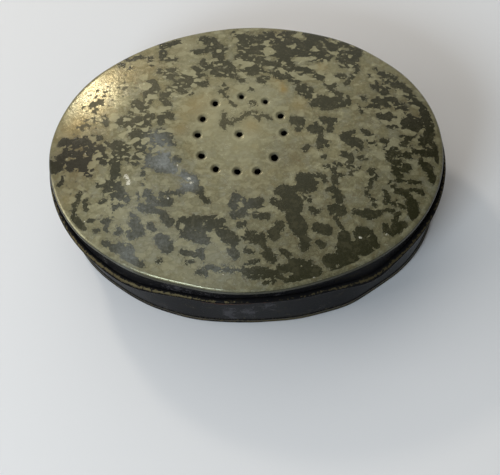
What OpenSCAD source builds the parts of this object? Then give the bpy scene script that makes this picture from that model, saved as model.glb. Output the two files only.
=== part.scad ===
// Oval pounce pot in soldered tinplate: a shallow pot and a lift-off lid with sprinkling holes.
// Millimetres, +Z up. The origin is on the resting face, under the middle of the oval.

/* [Pot] */
// Length of the pot over the outside of its wall
pot_length = 87.2; // [75:0.2:120]
// Width of the pot over the outside of its wall
pot_width = 65.2; // [45:0.2:72]
// Height of the wall's top edge above the resting face
wall_top = 22.8; // [14:0.1:45]
// Thickness of the tinplate
sheet = 0.3; // [0.2:0.05:0.45]

/* [Bottom] */
// Outside radius of the bend round the bottom plate
bottom_bend = 1; // [0.7:0.1:1.8]
// Height of the top of the bottom plate's turned-up flange
bottom_flange_top = 1.6; // [1.3:0.1:5]
// Reach of the solder fillet along the bottom and up the wall
bottom_fillet = 1.4; // [1.3:0.1:2.5]

/* [Seams] */
// Width of the tab that laps the two ends of a band
seam_lap = 4; // [2:0.5:8]
// Width of the solder line between the two ends of a band
seam_line = 0.6; // [0.3:0.1:1]

/* [Lid] */
// Room between the wall and the lid's skirt, all round
lid_clearance = 0.3; // [0.2:0.05:0.6]
// Room between the wall's top edge and the lid's underside
seat_gap = 0.2; // [0.1:0.05:0.4]
// Outside radius of the bend round the lid's panel
lid_bend = 1; // [0.9:0.1:2.2]
// Depth of the panel's turned-down flange below its bend
lid_flange = 0.5; // [0.3:0.1:2.4]
// Depth of the skirt below the panel's bend
skirt_depth = 5.8; // [4.4:0.1:9]
// Width over the rolled lower edge of the skirt
curl_width = 1.5; // [1.2:0.1:1.8]
// Rise of the panel's crown above the top of its bend
crown_rise = 2.8; // [1:0.1:5]

/* [Holes] */
// Number of holes in the ring, besides the one at its middle
ring_holes = 12; // [6:1:16]
// Radius of the ring of holes
ring_radius = 9.9; // [6:0.1:14]
// Place of the ring's middle, towards the left end
ring_left = 1.1; // [-4:0.1:4]
// Place of the ring's middle, towards the back
ring_back = 3.4; // [-4:0.1:5]
// Diameter of a usual hole
hole_d = 1.4; // [0.8:0.1:2]
// Width of the dented lip round each hole
lip_width = 0.5; // [0.3:0.1:0.8]
// Depth that punching pushed the lip down
lip_depth = 0.3; // [0.2:0.05:0.5]

/* [Hidden] */
$fn = 128;

// The punching was done by hand: turn in degrees, shift outwards and extra width of each hole
hole_turn = [1, -4, -5, -2, 5, 4, 0, 2, -1, -2, -6, -7];
hole_shift = [0.1, 0.4, 0.2, -0.2, -0.1, -0.6, -0.5, 0, 0.1, -0.6, 0.3, 0];
hole_extra = [0, 0, -0.2, -0.2, 0, 0, 0, 0.1, 0.1, 0.1, 0.1, 0.3];

// Outlines: a four-centre oval on the outside of the wall, whose arcs meet on 3-4-5 triangles
half_l = pot_length / 2;
half_w = pot_width / 2;
end_c = 3 / 2 * (half_l - half_w);
side_c = 2 * (half_l - half_w);
end_r = half_l - end_c;
side_r = half_w + side_c;

// Offsets outwards from the outside of the wall
skirt_in = lid_clearance;
skirt_out = skirt_in + sheet;
lid_out = skirt_out + sheet;

// Depth of the wall's solder line, which bites into the tab behind it
seam_floor = 1.5 * sheet;

// Heights
wall_low = bottom_bend;
wall_tab_top = wall_top - sheet;
bend_seat = sqrt(pow(lid_bend - sheet, 2) - pow(lid_bend - lid_out, 2));
lid_edge = wall_top + seat_gap - bend_seat;
crown = lid_edge + lid_bend + crown_rise;
curl_r = curl_width / 2;
curl_z = lid_edge - skirt_depth + curl_r;
skirt_tab_low = curl_z + curl_r;
skirt_tab_top = lid_edge - lid_flange;

// Panel: the crown's arc runs into the bend and lies level over the middle
level_margin = 4;
sweep_in = level_margin / 4 - end_r;
crown_in = end_r + lid_out - level_margin;
crown_r = (pow(crown_in - lid_bend, 2) + pow(crown - lid_edge, 2) - pow(lid_bend, 2))
          / (2 * (crown - lid_edge - lid_bend));
crown_slope = asin((crown_in - lid_bend) / (crown_r - lid_bend));

bend_steps = 8;
crown_steps = 14;
curl_steps = 20;
fillet_steps = 6;
solder_film = 0.01;
overcut = 0.5;

tin_black = [0.13, 0.13, 0.12];
tin_worn = [0.42, 0.4, 0.32];
solder_grey = [0.62, 0.62, 0.6];

// Points of an arc from one angle to another
function arc(middle, r, from, to, steps) =
    [for (i = [0 : steps]) let (a = from + (to - from) * i / steps) middle + r * [cos(a), sin(a)]];

function reversed(points) = [for (i = [len(points) - 1 : -1 : 0]) points[i]];

function without_first(points) = [for (i = [1 : len(points) - 1]) points[i]];

// Outline of bent sheet between its two faces
function between(face, other_face) = concat(face, reversed(other_face));

// One face of the lid's panel, at a depth into the sheet, from the flange's edge to the level middle
function panel_face(depth) = concat(
    [[lid_out - depth, lid_edge - lid_flange]],
    arc([lid_out - lid_bend, lid_edge], lid_bend - depth, 0, 90 - crown_slope, bend_steps),
    without_first(arc([lid_out - crown_in, crown - crown_r], crown_r - depth,
                      90 - crown_slope, 90, crown_steps)),
    [[sweep_in, crown - depth]]);

// One face of the bottom plate, at a depth into the sheet, from the flange's edge to the middle
function bottom_face(depth) = concat(
    [[sheet - depth, bottom_flange_top]],
    arc([sheet - bottom_bend, bottom_bend], bottom_bend - depth, 0, -90, bend_steps),
    [[sweep_in, depth]]);

// One face of the skirt, at a depth into the sheet, from its top edge round the curl
function skirt_face(depth) = concat(
    [[skirt_in + depth, lid_edge]],
    arc([skirt_in + curl_r, curl_z], curl_r - depth, 180, 450, curl_steps));

// Height of the panel's top at a point near the middle
function panel_top(p) =
    let (away = max(norm(p + [0, side_c]), norm(p - [0, side_c])) - (side_r - end_r + level_margin))
    crown - crown_r + sqrt(pow(crown_r, 2) - pow(max(away, 0), 2));

// Carries a section, drawn as offset and height, along the arc at the right-hand end
module end_sweep() {
    intersection() {
        translate([end_c, 0, 0])
            rotate_extrude()
                translate([end_r, 0])
                    children();
        linear_extrude(4 * crown, center = true)
            polygon([[end_c, 0], [end_c + 3 * half_w, 4 * half_w], [end_c + 3 * half_w, -4 * half_w]]);
    }
}

// Carries a section along the arc at the back
module side_sweep() {
    intersection() {
        translate([0, -side_c, 0])
            rotate_extrude()
                translate([side_r, 0])
                    children();
        linear_extrude(4 * crown, center = true)
            polygon([[0, -side_c], [3 * half_l, 4 * half_l - side_c], [-3 * half_l, 4 * half_l - side_c]]);
    }
}

// Carries a section once round the whole oval
module oval_sweep() {
    end_sweep() children();
    side_sweep() children();
    mirror([1, 0, 0]) end_sweep() children();
    mirror([0, 1, 0]) side_sweep() children();
}

// Carries a section along a short stretch of the back, between two distances right of its middle
module back_sweep(from, to) {
    turn_from = asin(from / side_r);
    turn_to = asin(to / side_r);
    translate([0, -side_c, 0])
        rotate([0, 0, 90 - turn_to])
            rotate_extrude(angle = turn_to - turn_from)
                translate([side_r, 0])
                    children();
}

// Carries a section along a stretch centred on the middle of the back
module seam_sweep(width) {
    back_sweep(-width / 2, width / 2) children();
}

// Level middle of a sheet that was swept in nearly to the centres of the oval's ends
module level_middle(low) {
    middle_r = side_r - end_r + level_margin / 2;
    translate([0, 0, low])
        linear_extrude(sheet)
            intersection() {
                translate([0, -side_c]) circle(middle_r);
                translate([0, side_c]) circle(middle_r);
            }
}

// Rectangle of a section, from one offset and height to another
module section(inner, outer, low, high) {
    translate([inner, low]) square([outer - inner, high - low]);
}

// Calls its children at each hole, with the hole's place, height and radius
module at_holes() {
    for (i = [-1 : ring_holes - 1]) {
        k = max(i, 0) % len(hole_turn);
        turn = 360 * i / ring_holes + hole_turn[k];
        reach = i < 0 ? 0 : ring_radius + hole_shift[k];
        $place = [-ring_left, ring_back] + reach * [cos(turn), sin(turn)];
        $hole_r = (hole_d + (i < 0 ? 0 : hole_extra[k])) / 2;
        translate([$place[0], $place[1], panel_top($place)]) children();
    }
}

// Oval band with its two ends lapped at the back, the tab inside
module body_wall() {
    color(tin_black)
        difference() {
            union() {
                oval_sweep() section(-sheet, 0, wall_low, wall_top);
                seam_sweep(seam_lap) section(-2 * sheet, -sheet / 2, wall_low, wall_tab_top);
            }
            seam_sweep(seam_line) section(-seam_floor, overcut, wall_low - overcut, wall_top + overcut);
        }
}

// Solder between the ends of the wall's band, flush with its outside
module body_seam_solder() {
    color(solder_grey)
        seam_sweep(seam_line) section(-seam_floor, 0, wall_low, wall_top);
}

// Flat oval plate, bent up into a flange round the outside of the wall
module bottom_plate() {
    color(tin_black) {
        oval_sweep() polygon(between(bottom_face(0), bottom_face(sheet)));
        level_middle(0);
    }
}

// Solder that fills the corner under the wall's edge and rises in a fillet inside
module bottom_solder() {
    corner = [sheet - bottom_bend, bottom_bend];
    fillet_middle = [-sheet - bottom_fillet, sheet + bottom_fillet];
    color(solder_grey)
        difference() {
            oval_sweep()
                polygon(concat(
                    arc(corner, bottom_bend - sheet - solder_film, 0, -90, bend_steps),
                    [[-sheet - bottom_fillet, sheet + solder_film]],
                    arc(fillet_middle, bottom_fillet, -80, -10, fillet_steps),
                    [[-sheet, sheet + bottom_fillet], [-sheet, wall_low]]));
            seam_sweep(seam_lap) section(-2 * sheet, 0, wall_low, wall_tab_top);
        }
}

// Crowned oval plate with a turned-down flange and the punched holes
module lid_panel() {
    lip_r = lip_width + sheet;
    color(tin_worn)
        difference() {
            union() {
                oval_sweep() polygon(between(panel_face(0), panel_face(sheet)));
                level_middle(crown - sheet);
                at_holes()
                    translate([0, 0, -sheet - lip_depth])
                        cylinder(h = lip_depth + sheet / 2, r1 = $hole_r + sheet, r2 = $hole_r + lip_r);
            }
            at_holes() {
                translate([0, 0, -lip_depth])
                    cylinder(h = 2 * lip_depth, r1 = $hole_r, r2 = $hole_r + 2 * lip_width);
                translate([0, 0, -2 * (lip_depth + sheet)])
                    cylinder(h = 4 * (lip_depth + sheet), r = $hole_r);
            }
        }
}

// Oval band with a rolled lower edge, its two ends lapped at the back, the tab outside
module lid_skirt() {
    color(tin_black) {
        oval_sweep() polygon(between(skirt_face(0), skirt_face(sheet)));
        seam_sweep(seam_lap) section(skirt_in, lid_out, skirt_tab_low, skirt_tab_top);
    }
}

// Solder run down the free edge of the skirt's tab
module lid_seam_solder() {
    color(solder_grey)
        back_sweep(seam_lap / 2, seam_lap / 2 + seam_line)
            section(skirt_out, lid_out, skirt_tab_low, skirt_tab_top);
}

// Solder that fills the corner between the skirt's top edge and the panel's bend
module lid_solder() {
    bend_inside = lid_bend - sheet - solder_film;
    bend_middle = lid_out - lid_bend;
    reach = acos((skirt_in - bend_middle) / bend_inside);
    color(solder_grey)
        oval_sweep()
            polygon(concat(
                arc([bend_middle, lid_edge], bend_inside, 0, reach, fillet_steps),
                [[skirt_in, lid_edge]]));
}

body_wall();
body_seam_solder();
bottom_plate();
bottom_solder();
lid_panel();
lid_skirt();
lid_seam_solder();
lid_solder();
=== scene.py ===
import math

import bmesh
import bpy
import numpy as np
from mathutils import Matrix, Vector


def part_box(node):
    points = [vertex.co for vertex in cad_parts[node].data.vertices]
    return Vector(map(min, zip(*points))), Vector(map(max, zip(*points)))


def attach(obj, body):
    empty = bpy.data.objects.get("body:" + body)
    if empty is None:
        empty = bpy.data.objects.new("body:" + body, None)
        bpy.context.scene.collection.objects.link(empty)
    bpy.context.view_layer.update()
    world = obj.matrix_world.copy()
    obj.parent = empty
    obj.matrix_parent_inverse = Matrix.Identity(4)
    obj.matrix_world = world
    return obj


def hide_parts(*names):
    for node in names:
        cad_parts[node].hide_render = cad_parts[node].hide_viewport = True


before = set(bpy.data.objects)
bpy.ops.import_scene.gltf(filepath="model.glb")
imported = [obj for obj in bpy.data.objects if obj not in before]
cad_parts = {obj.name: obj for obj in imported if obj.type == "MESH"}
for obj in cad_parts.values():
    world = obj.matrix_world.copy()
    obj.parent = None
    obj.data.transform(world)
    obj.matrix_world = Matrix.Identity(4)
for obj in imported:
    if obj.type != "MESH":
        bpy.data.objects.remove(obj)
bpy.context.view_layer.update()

mm = 0.001
sheet = 0.3  # thickness of the tinplate, mm
print("frame loaded")


# Sizes shared by all pieces, in mm, read from the frame
def nodeBox(node):
    low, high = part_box(node)
    return np.array(low) / mm, np.array(high) / mm


wallLow, wallHigh = nodeBox("body_wall")
plateHigh = nodeBox("bottom_plate")[1]
panelLow, panelHigh = nodeBox("lid_panel")
skirtLow, skirtHigh = nodeBox("lid_skirt")
wallSeamLow, wallSeamHigh = nodeBox("body_seam_solder")
lidSeamLow, lidSeamHigh = nodeBox("lid_seam_solder")

# The oval is drawn with four arcs that meet on 3-4-5 triangles
halfLength, halfWidth = wallHigh[0], -wallLow[1]
meetAlong, meetAcross = 0.6, 0.8  # the direction in which two arcs meet
endCentre = 1.5 * (halfLength - halfWidth)
sideCentre = 2 * (halfLength - halfWidth)
endRadius = halfLength - endCentre
sideRadius = halfWidth + sideCentre


def ovalRing(turn, outward):
    # points at a distance outward from the wall's outline, for the directions that the outline faces
    along, across = np.cos(turn), np.sin(turn)
    onSide = np.abs(across) > meetAcross
    centreX = np.where(onSide, 0.0, endCentre * np.sign(along))
    centreY = np.where(onSide, -sideCentre * np.sign(across), 0.0)
    radius = np.where(onSide, sideRadius, endRadius) + outward
    return centreX + radius * along, centreY + radius * across


def outwardOf(x, y):
    # distance of points outward from the wall's outline
    x, y = np.abs(x), np.abs(y)
    fromSide = np.hypot(x, y + sideCentre) - sideRadius
    fromEnd = np.hypot(x - endCentre, y) - endRadius
    return np.where((y + sideCentre) * meetAlong > x * meetAcross, fromSide, fromEnd)


def ramp(value, start, end):
    # 0 at the start, 1 at the end, straight between
    return np.clip((value - start) / (end - start), 0, 1)


def bell(value, middle, width):
    # 1 at the middle, falling away softly on both sides
    return np.exp(-((value - middle) / width) ** 2)


def pushed(polar, dents):
    # sum of soft dents, each at an angle round the pot, with a half width in degrees and an amount in mm
    total = np.zeros_like(polar)
    for angle, width, amount in dents:
        away = (np.degrees(polar) - angle + 180) % 360 - 180
        total += amount * bell(away, 0, width)
    return total


def arc(centre, radius, start, end, steps):
    angle = np.radians(np.linspace(start, end, steps + 1))
    return np.stack([centre[0] + radius * np.cos(angle), centre[1] + radius * np.sin(angle)], 1)


# Given unevenness: the whole tin is a little out of true, the same for lid and pot
tinShape = {
    "outOfTrue": [(-40, 13, 0.35), (49, 13, 0.45), (-113, 9, -0.25), (105, 14, -0.22),
                  (178, 8, 0.2), (-132, 8, 0.15)],
    "ripple": 0.012,
    "rippleWaves": range(5, 11),  # waves round the tin
    "turns": 640,                 # points round every piece
    "tabEase": 0.25,              # over which a lap's step rises, mm
}
turns = np.linspace(0, 2 * math.pi, tinShape["turns"], endpoint=False)


def ripple(polar, seed):
    waves = tinShape["rippleWaves"]
    phases = np.random.default_rng(seed).uniform(0, 2 * math.pi, len(waves))
    return tinShape["ripple"] * sum(np.sin(wave * polar + phase) for wave, phase in zip(waves, phases))


# Mesh helpers
def makePiece(name, points, faces, body, finish, slot, nodes, fields, sharp=40):
    mesh = bpy.data.meshes.new(name)
    mesh.from_pydata((np.asarray(points) * mm).tolist(), [], faces)
    tidy = bmesh.new()
    tidy.from_mesh(mesh)
    bmesh.ops.recalc_face_normals(tidy, faces=tidy.faces)
    tidy.to_mesh(mesh)
    tidy.free()
    mesh.shade_smooth()
    mesh.set_sharp_from_angle(angle=math.radians(sharp))
    for field, values in fields.items():
        kept = mesh.attributes.new(field, "FLOAT", "POINT")
        kept.data.foreach_set("value", np.asarray(values, np.float32).ravel())
    piece = bpy.data.objects.new(name, mesh)
    bpy.context.scene.collection.objects.link(piece)
    mesh.materials.append(finish)
    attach(piece, body)
    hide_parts(*nodes)
    print(name, len(mesh.vertices), "points")


def gridFaces(rows, columns, rowsClose):
    # four-sided faces of a grid that closes round its columns, and round its rows if asked
    spans = rows if rowsClose else rows - 1
    row, column = np.meshgrid(np.arange(spans), np.arange(columns), indexing="ij")
    nextRow, nextColumn = (row + 1) % rows, (column + 1) % columns
    corners = [row * columns + column, row * columns + nextColumn,
               nextRow * columns + nextColumn, nextRow * columns + column]
    return np.stack([corner.ravel() for corner in corners], 1)


def hubFan(hub, ring):
    # triangles from a middle point to a closed ring of points
    return np.stack([np.full(len(ring), hub), ring, np.roll(ring, -1)], 1)


def bothSides(oneSide, count, joining):
    # faces of two layers of points that lie back to back, and those that join their edges
    return oneSide + [[i + count for i in reversed(face)] for face in oneSide] + joining


def outlinePolar():
    # angle round the pot of each point on the outline
    return np.arctan2(*ovalRing(turns, 0)[::-1])


def sweepPiece(name, section, bend, fields, **look):
    # carries a closed section once round the oval, bent from its true place by a function
    polar = outlinePolar()[None, :]
    outward, height = bend(polar, section[:, :1], section[:, 1:])
    x, y = ovalRing(turns[None, :], outward)
    height = np.broadcast_to(height, x.shape)
    points = np.stack([x, y, height], -1).reshape(-1, 3)
    made = {key: np.broadcast_to(fill, x.shape) for key, fill in fields(polar, section).items()}
    faces = gridFaces(len(section), len(turns), True).tolist()
    makePiece(name, points, faces, fields=made, **look)


# Shader maths
class Wire:
    # an output socket, so that maths on it reads as plain Python
    def __init__(self, tree, socket=None):
        self.tree = tree
        self.socket = socket

    def node(self, kind, settings=None, values=None, out=0):
        made = self.tree.nodes.new(kind)
        for key, value in (settings or {}).items():
            setattr(made, key, value)
        for key, value in (values or {}).items():
            if isinstance(value, Wire):
                self.tree.links.new(value.socket, made.inputs[key])
            else:
                made.inputs[key].default_value = value
        return Wire(self.tree, made.outputs[out])

    def calc(self, operation, first, second=0.0):
        return self.node("ShaderNodeMath", {"operation": operation}, {0: first, 1: second})

    def __add__(self, other):
        return self.calc("ADD", self, other)

    def __sub__(self, other):
        return self.calc("SUBTRACT", self, other)

    def __rsub__(self, other):
        return self.calc("SUBTRACT", other, self)

    def __mul__(self, other):
        return self.calc("MULTIPLY", self, other)

    __radd__, __rmul__ = __add__, __mul__

    def upTo(self, top):
        return self.calc("MINIMUM", self, top)

    def atLeast(self, floor):
        return self.calc("MAXIMUM", self, floor)

    def ease(self, low, high):
        # 0 below low, 1 above high, smooth between
        return self.node("ShaderNodeMapRange", {"interpolation_type": "SMOOTHSTEP"},
                         {"Value": self, "From Min": low, "From Max": high})

    def over(self, under, colour):
        # a colour laid over another where this is 1
        return self.node("ShaderNodeMix", {"data_type": "RGBA"}, {0: self, 6: under, 7: colour}, 2)

    def grain(self, scale, detail=3.0, shift=0.0, rough=0.55):
        # noise on these coordinates, centred on 0
        moved = self.node("ShaderNodeVectorMath", {"operation": "ADD"},
                          {0: self, 1: (shift, -shift, 2 * shift)})
        return self.node("ShaderNodeTexNoise", {},
                         {"Vector": moved, "Scale": scale, "Detail": detail, "Roughness": rough}) - 0.5

    def stretched(self, shares):
        return self.node("ShaderNodeVectorMath", {"operation": "MULTIPLY"}, {0: self, 1: shares})

    def field(self, name):
        return self.node("ShaderNodeAttribute", {"attribute_name": name}, out="Fac")

    def inMillimetres(self):
        place = self.node("ShaderNodeTexCoord", out="Object")
        return self.node("ShaderNodeVectorMath", {"operation": "SCALE"}, {0: place, "Scale": 1 / mm})

    def relief(self, depth):
        # bump of a height from 0 to 1 that stands for a depth in mm
        return self.node("ShaderNodeBump", {}, {"Height": self, "Distance": depth * mm, "Strength": 1.0})


def newFinish(name, sockets):
    finish = bpy.data.materials.new(name)
    finish.use_nodes = True
    shader = finish.node_tree.nodes["Principled BSDF"]
    for key, value in sockets.items():
        shader.inputs[key].default_value = value
    return finish, Wire(finish.node_tree), shader


def washed(base, look, washes):
    # colours laid over a base one after another, each where its share is 1
    for share, colour in washes:
        base = share.over(base, look[colour])
    return base


def wireUp(shader, links):
    for key, wire in links.items():
        wire.tree.links.new(wire.socket, shader.inputs[key])


# Finish of the lid: black japan worn off in blotches, down to dull tin, with some painted glints,
# highlights, sheen and shade
lidLook = {
    "bare": (0.222, 0.210, 0.122, 1),
    "bareDark": (0.145, 0.134, 0.073, 1),
    "bareGrey": (0.234, 0.234, 0.170, 1),
    "barePale": (0.310, 0.293, 0.180, 1),
    "bareBrown": (0.125, 0.092, 0.042, 1),
    "bareTan": (0.238, 0.206, 0.104, 1),
    "ochre": (0.265, 0.185, 0.062, 1),
    # glint: colour of bright tin chips and of painted glints of light
    "glint": (0.58, 0.56, 0.47, 1),
    "paint": (0.0150, 0.0150, 0.003, 1),
    "paintBrown": (0.009, 0.0062, 0.001, 1),
    "paintThin": (0.082, 0.073, 0.036, 1),
    # paintHazeAndSheen and smear: colours of a dusty haze and of a painted bluish sheen, on japan and on
    # bare tin
    "paintHazeAndSheen": (0.115, 0.122, 0.115, 1),
    "speck": (0.050, 0.042, 0.019, 1),
    "smearAndSheen": (0.215, 0.232, 0.228, 1),
    # grime: colour of dirt and of painted shade
    "grimeAndShade": (0.035, 0.029, 0.017, 1),
    "under": (0.30, 0.285, 0.25, 1),
    "specular": 0.45,
    "specularTint": (1.0, 0.99, 0.87, 1),
    "metal": 0.32,      # of the bare tin
    "roughness": 0.20,
    "relief": 0.06,     # depth of the bump, mm
}


def lidFinish():
    look = lidLook
    finish, start, shader = newFinish("wornLid", {"Specular IOR Level": look["specular"],
                                                  "Specular Tint": look["specularTint"]})
    place, field = start.inMillimetres(), start.field
    # noises: scale per mm, detail, and a shift that sets them apart
    blot = place.grain(0.55, 2.0, 3.1)
    crumb = place.grain(1.5, 3.0, 11.7)
    fine = place.grain(5.0, 3.0, 23.9)
    dust = place.grain(14.0, 2.0, 41.3)
    cloud = place.grain(0.3, 1.5, 91.3)
    peck = place.grain(0.95, 0.9, 131.7)
    drawn = place.stretched((0.7, 1.0, 1.0))
    isle = drawn.grain(0.52, 1.5, 57.1) + crumb * 0.12
    small = drawn.grain(1.1, 1.0, 77.3)

    # where japan is left: the given field with ragged edges, less the flakes that lifted off
    lifted = isle.ease(0.055, 0.13).atLeast(small.ease(0.10, 0.16)) * field("flecked")
    edge = field("paint").upTo(1.2).atLeast(-1.2) + blot * 1.3 + crumb * 1.8 + fine * 0.7 + 0.25
    edge = edge - lifted * 2.6
    paint = edge.ease(-0.11, 0.11)
    film = edge.ease(-0.65, -0.05) - paint  # crumbs of a thin brown film left round each patch
    tide = 1 - isle.calc("ABSOLUTE", isle + 0.01).ease(0.004, 0.024)  # faint edges that older japan left
    specks = (field("crumbed") * 0.8 + peck * 2.4 + fine * 0.35 - 0.87).ease(-0.05, 0.07)
    chipsAndGlints = (field("glint") * (1 + crumb * 2.8 + fine * 3.4)).ease(0.36, 0.66)  # bright new chips of tin, and small painted highlights where light glints

    bare = washed(look["bareDark"], look, [
        (crumb.ease(-0.16, 0.18), "bare"),
        ((blot.ease(0.0, 0.2) * 0.6 + field("grey")).upTo(1.0), "bareGrey"),
        ((0.0 - cloud).ease(0.0, 0.16) * field("tan"), "bareTan"),
        (cloud.ease(0.02, 0.16) * 0.4, "bareGrey"),
        (isle.ease(0.0, 0.12) * 0.45, "barePale"),
        (small.ease(0.03, 0.12) * 0.45, "bareDark"),
        ((tide * (crumb * 2.2 + 0.45)).atLeast(0.0).upTo(0.6), "bareBrown"),
        # paler tin, and painted highlights on the back rim and round the holes
        (field("pale") * (blot + 0.7), "barePale"),
        (field("brown") * (crumb + 0.6), "bareBrown"),
        (field("ochre") * (fine + 0.75), "ochre"),
        # dirt, and painted shade on the front and right of the lid
        ((field("grimeAndShade") + dust.ease(0.14, 0.3) * 0.15).upTo(1.0), "grimeAndShade"),
        (lifted * 0.65, "barePale"),
        ((film * (crumb * 2.4 + fine * 2.4 + 0.22)).atLeast(0.0).upTo(0.8), "speck"),
    ])
    japan = washed(look["paint"], look, [
        ((blot + crumb * 0.8 + fine * 0.4).ease(-0.02, 0.2) * 0.26, "paintThin"),
        (field("brown"), "paintBrown"),
        (field("thin") * (crumb + 0.85), "paintThin"),
        # a dusty haze on the japan, and a painted bluish sheen
        (field("hazeAndSheen") * (crumb * 1.6 + 1.1), "paintHazeAndSheen"),
        (dust.ease(0.12, 0.32), "paintHazeAndSheen"),
    ])
    colour = washed(paint.over(bare, japan), look, [
        (specks * 0.85, "speck"),
        # the same dusty haze and painted sheen, over bare tin too
        ((field("hazeAndSheen") * (crumb * 1.7 + fine * 0.8 + 0.5)).atLeast(0.0), "smearAndSheen"),
        (chipsAndGlints, "glint"),
    ])

    inside = field("under")
    outside = 1 - inside
    shown = paint.atLeast(specks * 0.85) * outside
    uneven = blot * 0.2 + crumb * 0.3 + fine * 0.2
    wireUp(shader, {
        "Base Color": inside.over(colour, (crumb + 0.5).over(look["under"], look["bareDark"])),
        "Metallic": look["metal"] - shown * look["metal"],
        "Roughness": uneven + specks * 0.35 + field("grimeAndShade") * 0.4 + look["roughness"],
        "Normal": (paint * outside * 0.7 + crumb * 0.5 + fine * 0.32 + dust * 0.06).relief(look["relief"]),
    })
    return finish


# Finish of the sides: gloss black japan with rubs, and bare tin inside
sideLook = {
    "paint": (0.008, 0.008, 0.009, 1),
    "paintThin": (0.0135, 0.0122, 0.0095, 1),
    "scuff": (0.072, 0.070, 0.078, 1),
    "bare": (0.080, 0.066, 0.035, 1),
    "rust": (0.16, 0.055, 0.025, 1),
    "inside": (0.40, 0.385, 0.34, 1),
    "insideDark": (0.23, 0.21, 0.17, 1),
    "specular": 0.02,
    "metal": 0.5,       # of the bare tin
    "roughness": 0.17,
    "relief": 0.05,     # depth of the bump, mm
}


def sideFinish(name, seed):
    look = sideLook
    finish, start, shader = newFinish(name, {"Specular IOR Level": look["specular"]})
    place, field = start.inMillimetres(), start.field
    blot = place.grain(0.5, 2.0, seed)
    crumb = place.grain(1.7, 3.0, seed + 8.3)
    fine = place.grain(6.0, 3.0, seed + 17.9)
    rub = place.stretched((0.6, 0.6, 1.0)).grain(0.9, 4.0, seed + 29.5)

    worn = (field("worn") + crumb * 1.6 + fine * 0.7 - 0.5).ease(-0.06, 0.06)
    scuffed = (field("scuff") + blot * 1.6 + crumb * 1.1 + fine * 0.9 - 0.6).ease(-0.2, 0.4)
    rusted = (field("rust") + crumb * 1.2 + fine * 0.6 - 0.5).ease(-0.1, 0.15)
    colour = washed(look["paint"], look, [
        (blot.ease(0.02, 0.2), "paintThin"),
        (fine.ease(0.2, 0.3) * 0.5, "scuff"),
        (scuffed * 0.7, "scuff"),
        (worn, "bare"),
        (rusted * 0.85, "rust"),
    ])

    inside = field("under")
    tin = (crumb + blot + 0.45).upTo(1.0).atLeast(0.0).over(look["inside"], look["insideDark"])
    bareness = worn.atLeast(inside)
    uneven = scuffed * 0.22 + rusted * 0.3 + fine * 0.18 + rub * 0.12
    wireUp(shader, {
        "Base Color": inside.over(colour, tin),
        "Metallic": bareness * look["metal"],
        "Roughness": uneven + bareness * 0.26 + look["roughness"],
        "Normal": (crumb * 0.3 + fine * 0.15 - worn * 0.6 + rub * 0.15).relief(look["relief"]),
    })
    return finish


solderLook = {
    "bright": (0.46, 0.455, 0.43, 1),
    "dull": (0.22, 0.215, 0.20, 1),
}


def solderFinish():
    look = solderLook
    finish, start, shader = newFinish("dullSolder", {"Metallic": 0.8})
    place = start.inMillimetres()
    flow = place.grain(0.8, 3.0, 5.5)
    grit = place.grain(6.0, 3.0, 15.1)
    wireUp(shader, {
        "Base Color": (flow + grit + 0.5).over(look["bright"], look["dull"]),
        "Roughness": 0.42 + flow * 0.4 + grit * 0.2,
        "Normal": (flow + grit * 0.5 + 0.5).relief(0.12),
    })
    return finish


def seamFinish():
    # solder under japan that has rubbed off the ridge
    look = solderLook
    finish, start, shader = newFinish("rubbedSeam", {"Specular IOR Level": 0.2})
    place = start.inMillimetres()
    flow = place.grain(0.7, 3.0, 7.7)
    grit = place.grain(3.5, 3.0, 19.3)
    brightening = (start.field("worn") + flow * 2.0 + grit * 1.2 - 0.55).ease(-0.08, 0.12)
    wireUp(shader, {
        "Base Color": brightening.over(sideLook["paint"], (grit + 0.6).over(look["dull"], look["bright"])),
        "Metallic": brightening * 0.6,
        "Roughness": 0.3 + brightening * 0.15 + flow * 0.3,
        "Normal": (flow + grit * 0.5 + 0.5).relief(0.1),
    })
    return finish


wornLid = lidFinish()
skirtJapan = sideFinish("skirtJapan", 2.4)
wallJapan = sideFinish("wallJapan", 51.7)
plateJapan = sideFinish("plateJapan", 83.2)
dullSolder = solderFinish()
rubbedSeam = seamFinish()
print("finishes made")

# Lid panel
panelShape = {
    "bend": 1.0,           # outside radius of the bend, mm
    "flange": 0.5,         # straight part below the bend
    "levelMargin": 4.0,
    "ringMiddle": (-1.1, 3.4),
    "ringRadius": 9.9,
    "holeTurn": [1, -4, -5, -2, 5, 4, 0, 2, -1, -2, -6, -7],
    "holeShift": [0.1, 0.4, 0.2, -0.2, -0.1, -0.6, -0.5, 0, 0.1, -0.6, 0.3, 0],
    "holeExtra": [0, 0, -0.2, -0.2, 0, 0, 0, 0.1, 0.1, 0.1, 0.1, 0.3],
    "holeWidth": 1.4,
    "lipWidth": 0.55,
    "lipDepth": 0.2,
    "dish": (2.2, 0.10),   # reach and depth of the dish that punching left round a hole
    "ragged": [(2, 0.05), (5, 0.035)],  # waves round a hole's edge, and their share of its radius
    "rows": [(0.015, 0.10, 6), (0.10, 0.48, 84), (0.48, 1, 70)],  # shares of the way out, and rows between
    "dents": [(-27, -7, 2.2, -0.12), (-13, -8, 2.5, -0.10), (-18, 2, 5, 0.10), (22, -12, 6, -0.10),
              (10, 24, 6, 0.10), (30, 8, 5, -0.08), (-6, -24, 6, -0.10), (-30, 14, 7, 0.08)],
}
lidOut = panelHigh[0] - halfLength
lidEdge = panelLow[2] + panelShape["flange"]
crown = panelHigh[2]
crownIn = endRadius + lidOut - panelShape["levelMargin"]
crownRise = crown - lidEdge
lidBend = panelShape["bend"]
crownReach = crownIn - lidBend
crownRadius = (crownReach ** 2 + crownRise ** 2 - lidBend ** 2) / (2 * (crownRise - lidBend))
crownSlope = math.degrees(math.asin(crownReach / (crownRadius - lidBend)))


def lidTrue(polar):
    return pushed(polar, tinShape["outOfTrue"]) + ripple(polar, 4)


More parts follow.
